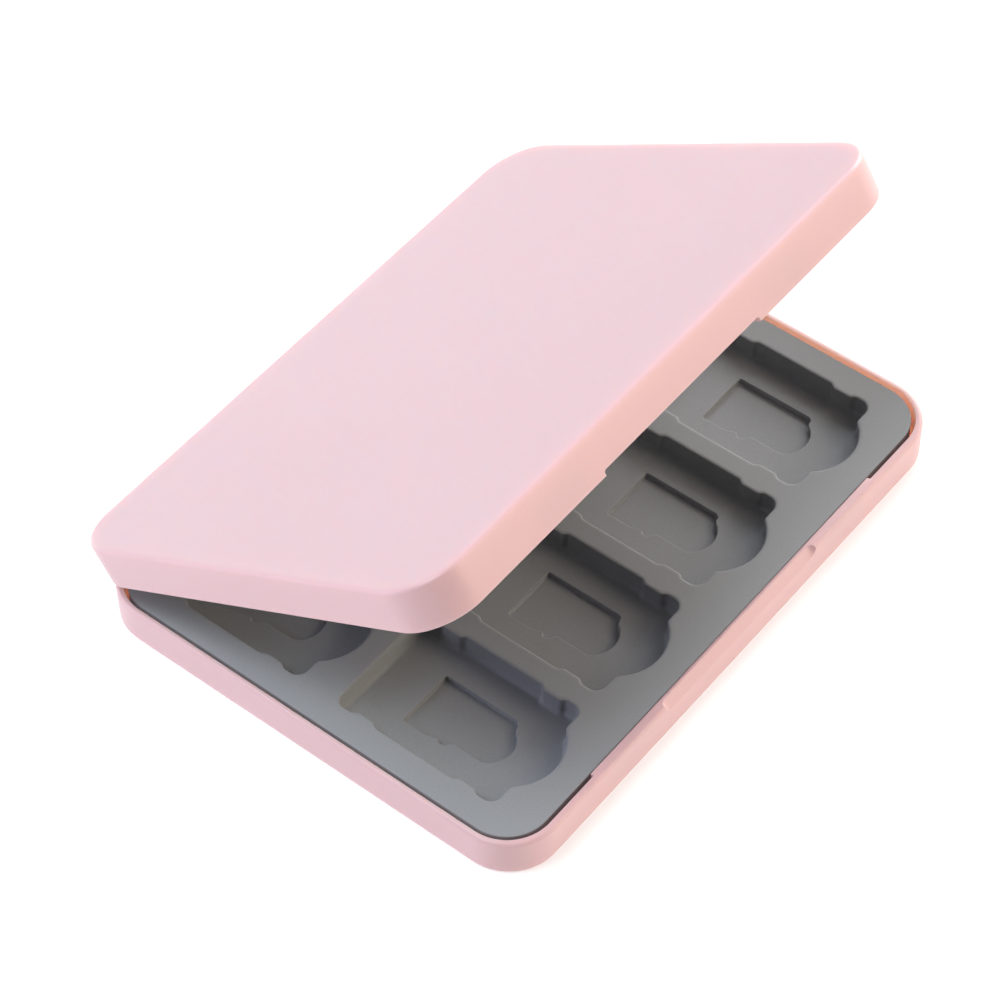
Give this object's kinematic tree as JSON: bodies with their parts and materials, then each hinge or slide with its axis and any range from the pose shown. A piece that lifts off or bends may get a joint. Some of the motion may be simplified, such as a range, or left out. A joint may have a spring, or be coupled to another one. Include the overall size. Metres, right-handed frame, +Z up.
{
  "type": "game card case",
  "caption": "Slim hinged game card case: a shallow rounded base and lid, each lined with a tray of nested card and memory-card recesses, with a finger opening at the front.",
  "frame": {"origin": "middle of the base's flat underside", "axes": "+X along the hinge, +Y from the front edge that opens towards the hinge, +Z up"},
  "size_m": [0.1142, 0.0907, 0.0595],
  "materials": {
    "shell": "fine satin, lightly translucent pink",
    "tray": "dry matte grey",
    "pin": "drawn wire",
    "magnet": "nickel plated"
  },
  "bodies": {
    "base": {"base_shell": "shell", "base_tray": "tray", "hinge_pin_left": "pin", "hinge_pin_right": "pin", "base_magnet_left": "magnet", "base_magnet_right": "magnet"},
    "lid": {"lid_shell": "shell", "lid_tray": "tray", "lid_magnet_left": "magnet", "lid_magnet_right": "magnet"}
  },
  "joints": [
    {"name": "lid_hinge", "type": "hinge", "parent": "base", "child": "lid", "pos_m": [0, 0.0436, 0.00758], "axis": [-1, 0, 0], "range_deg": [-31.6, 143.4]}
  ]
}
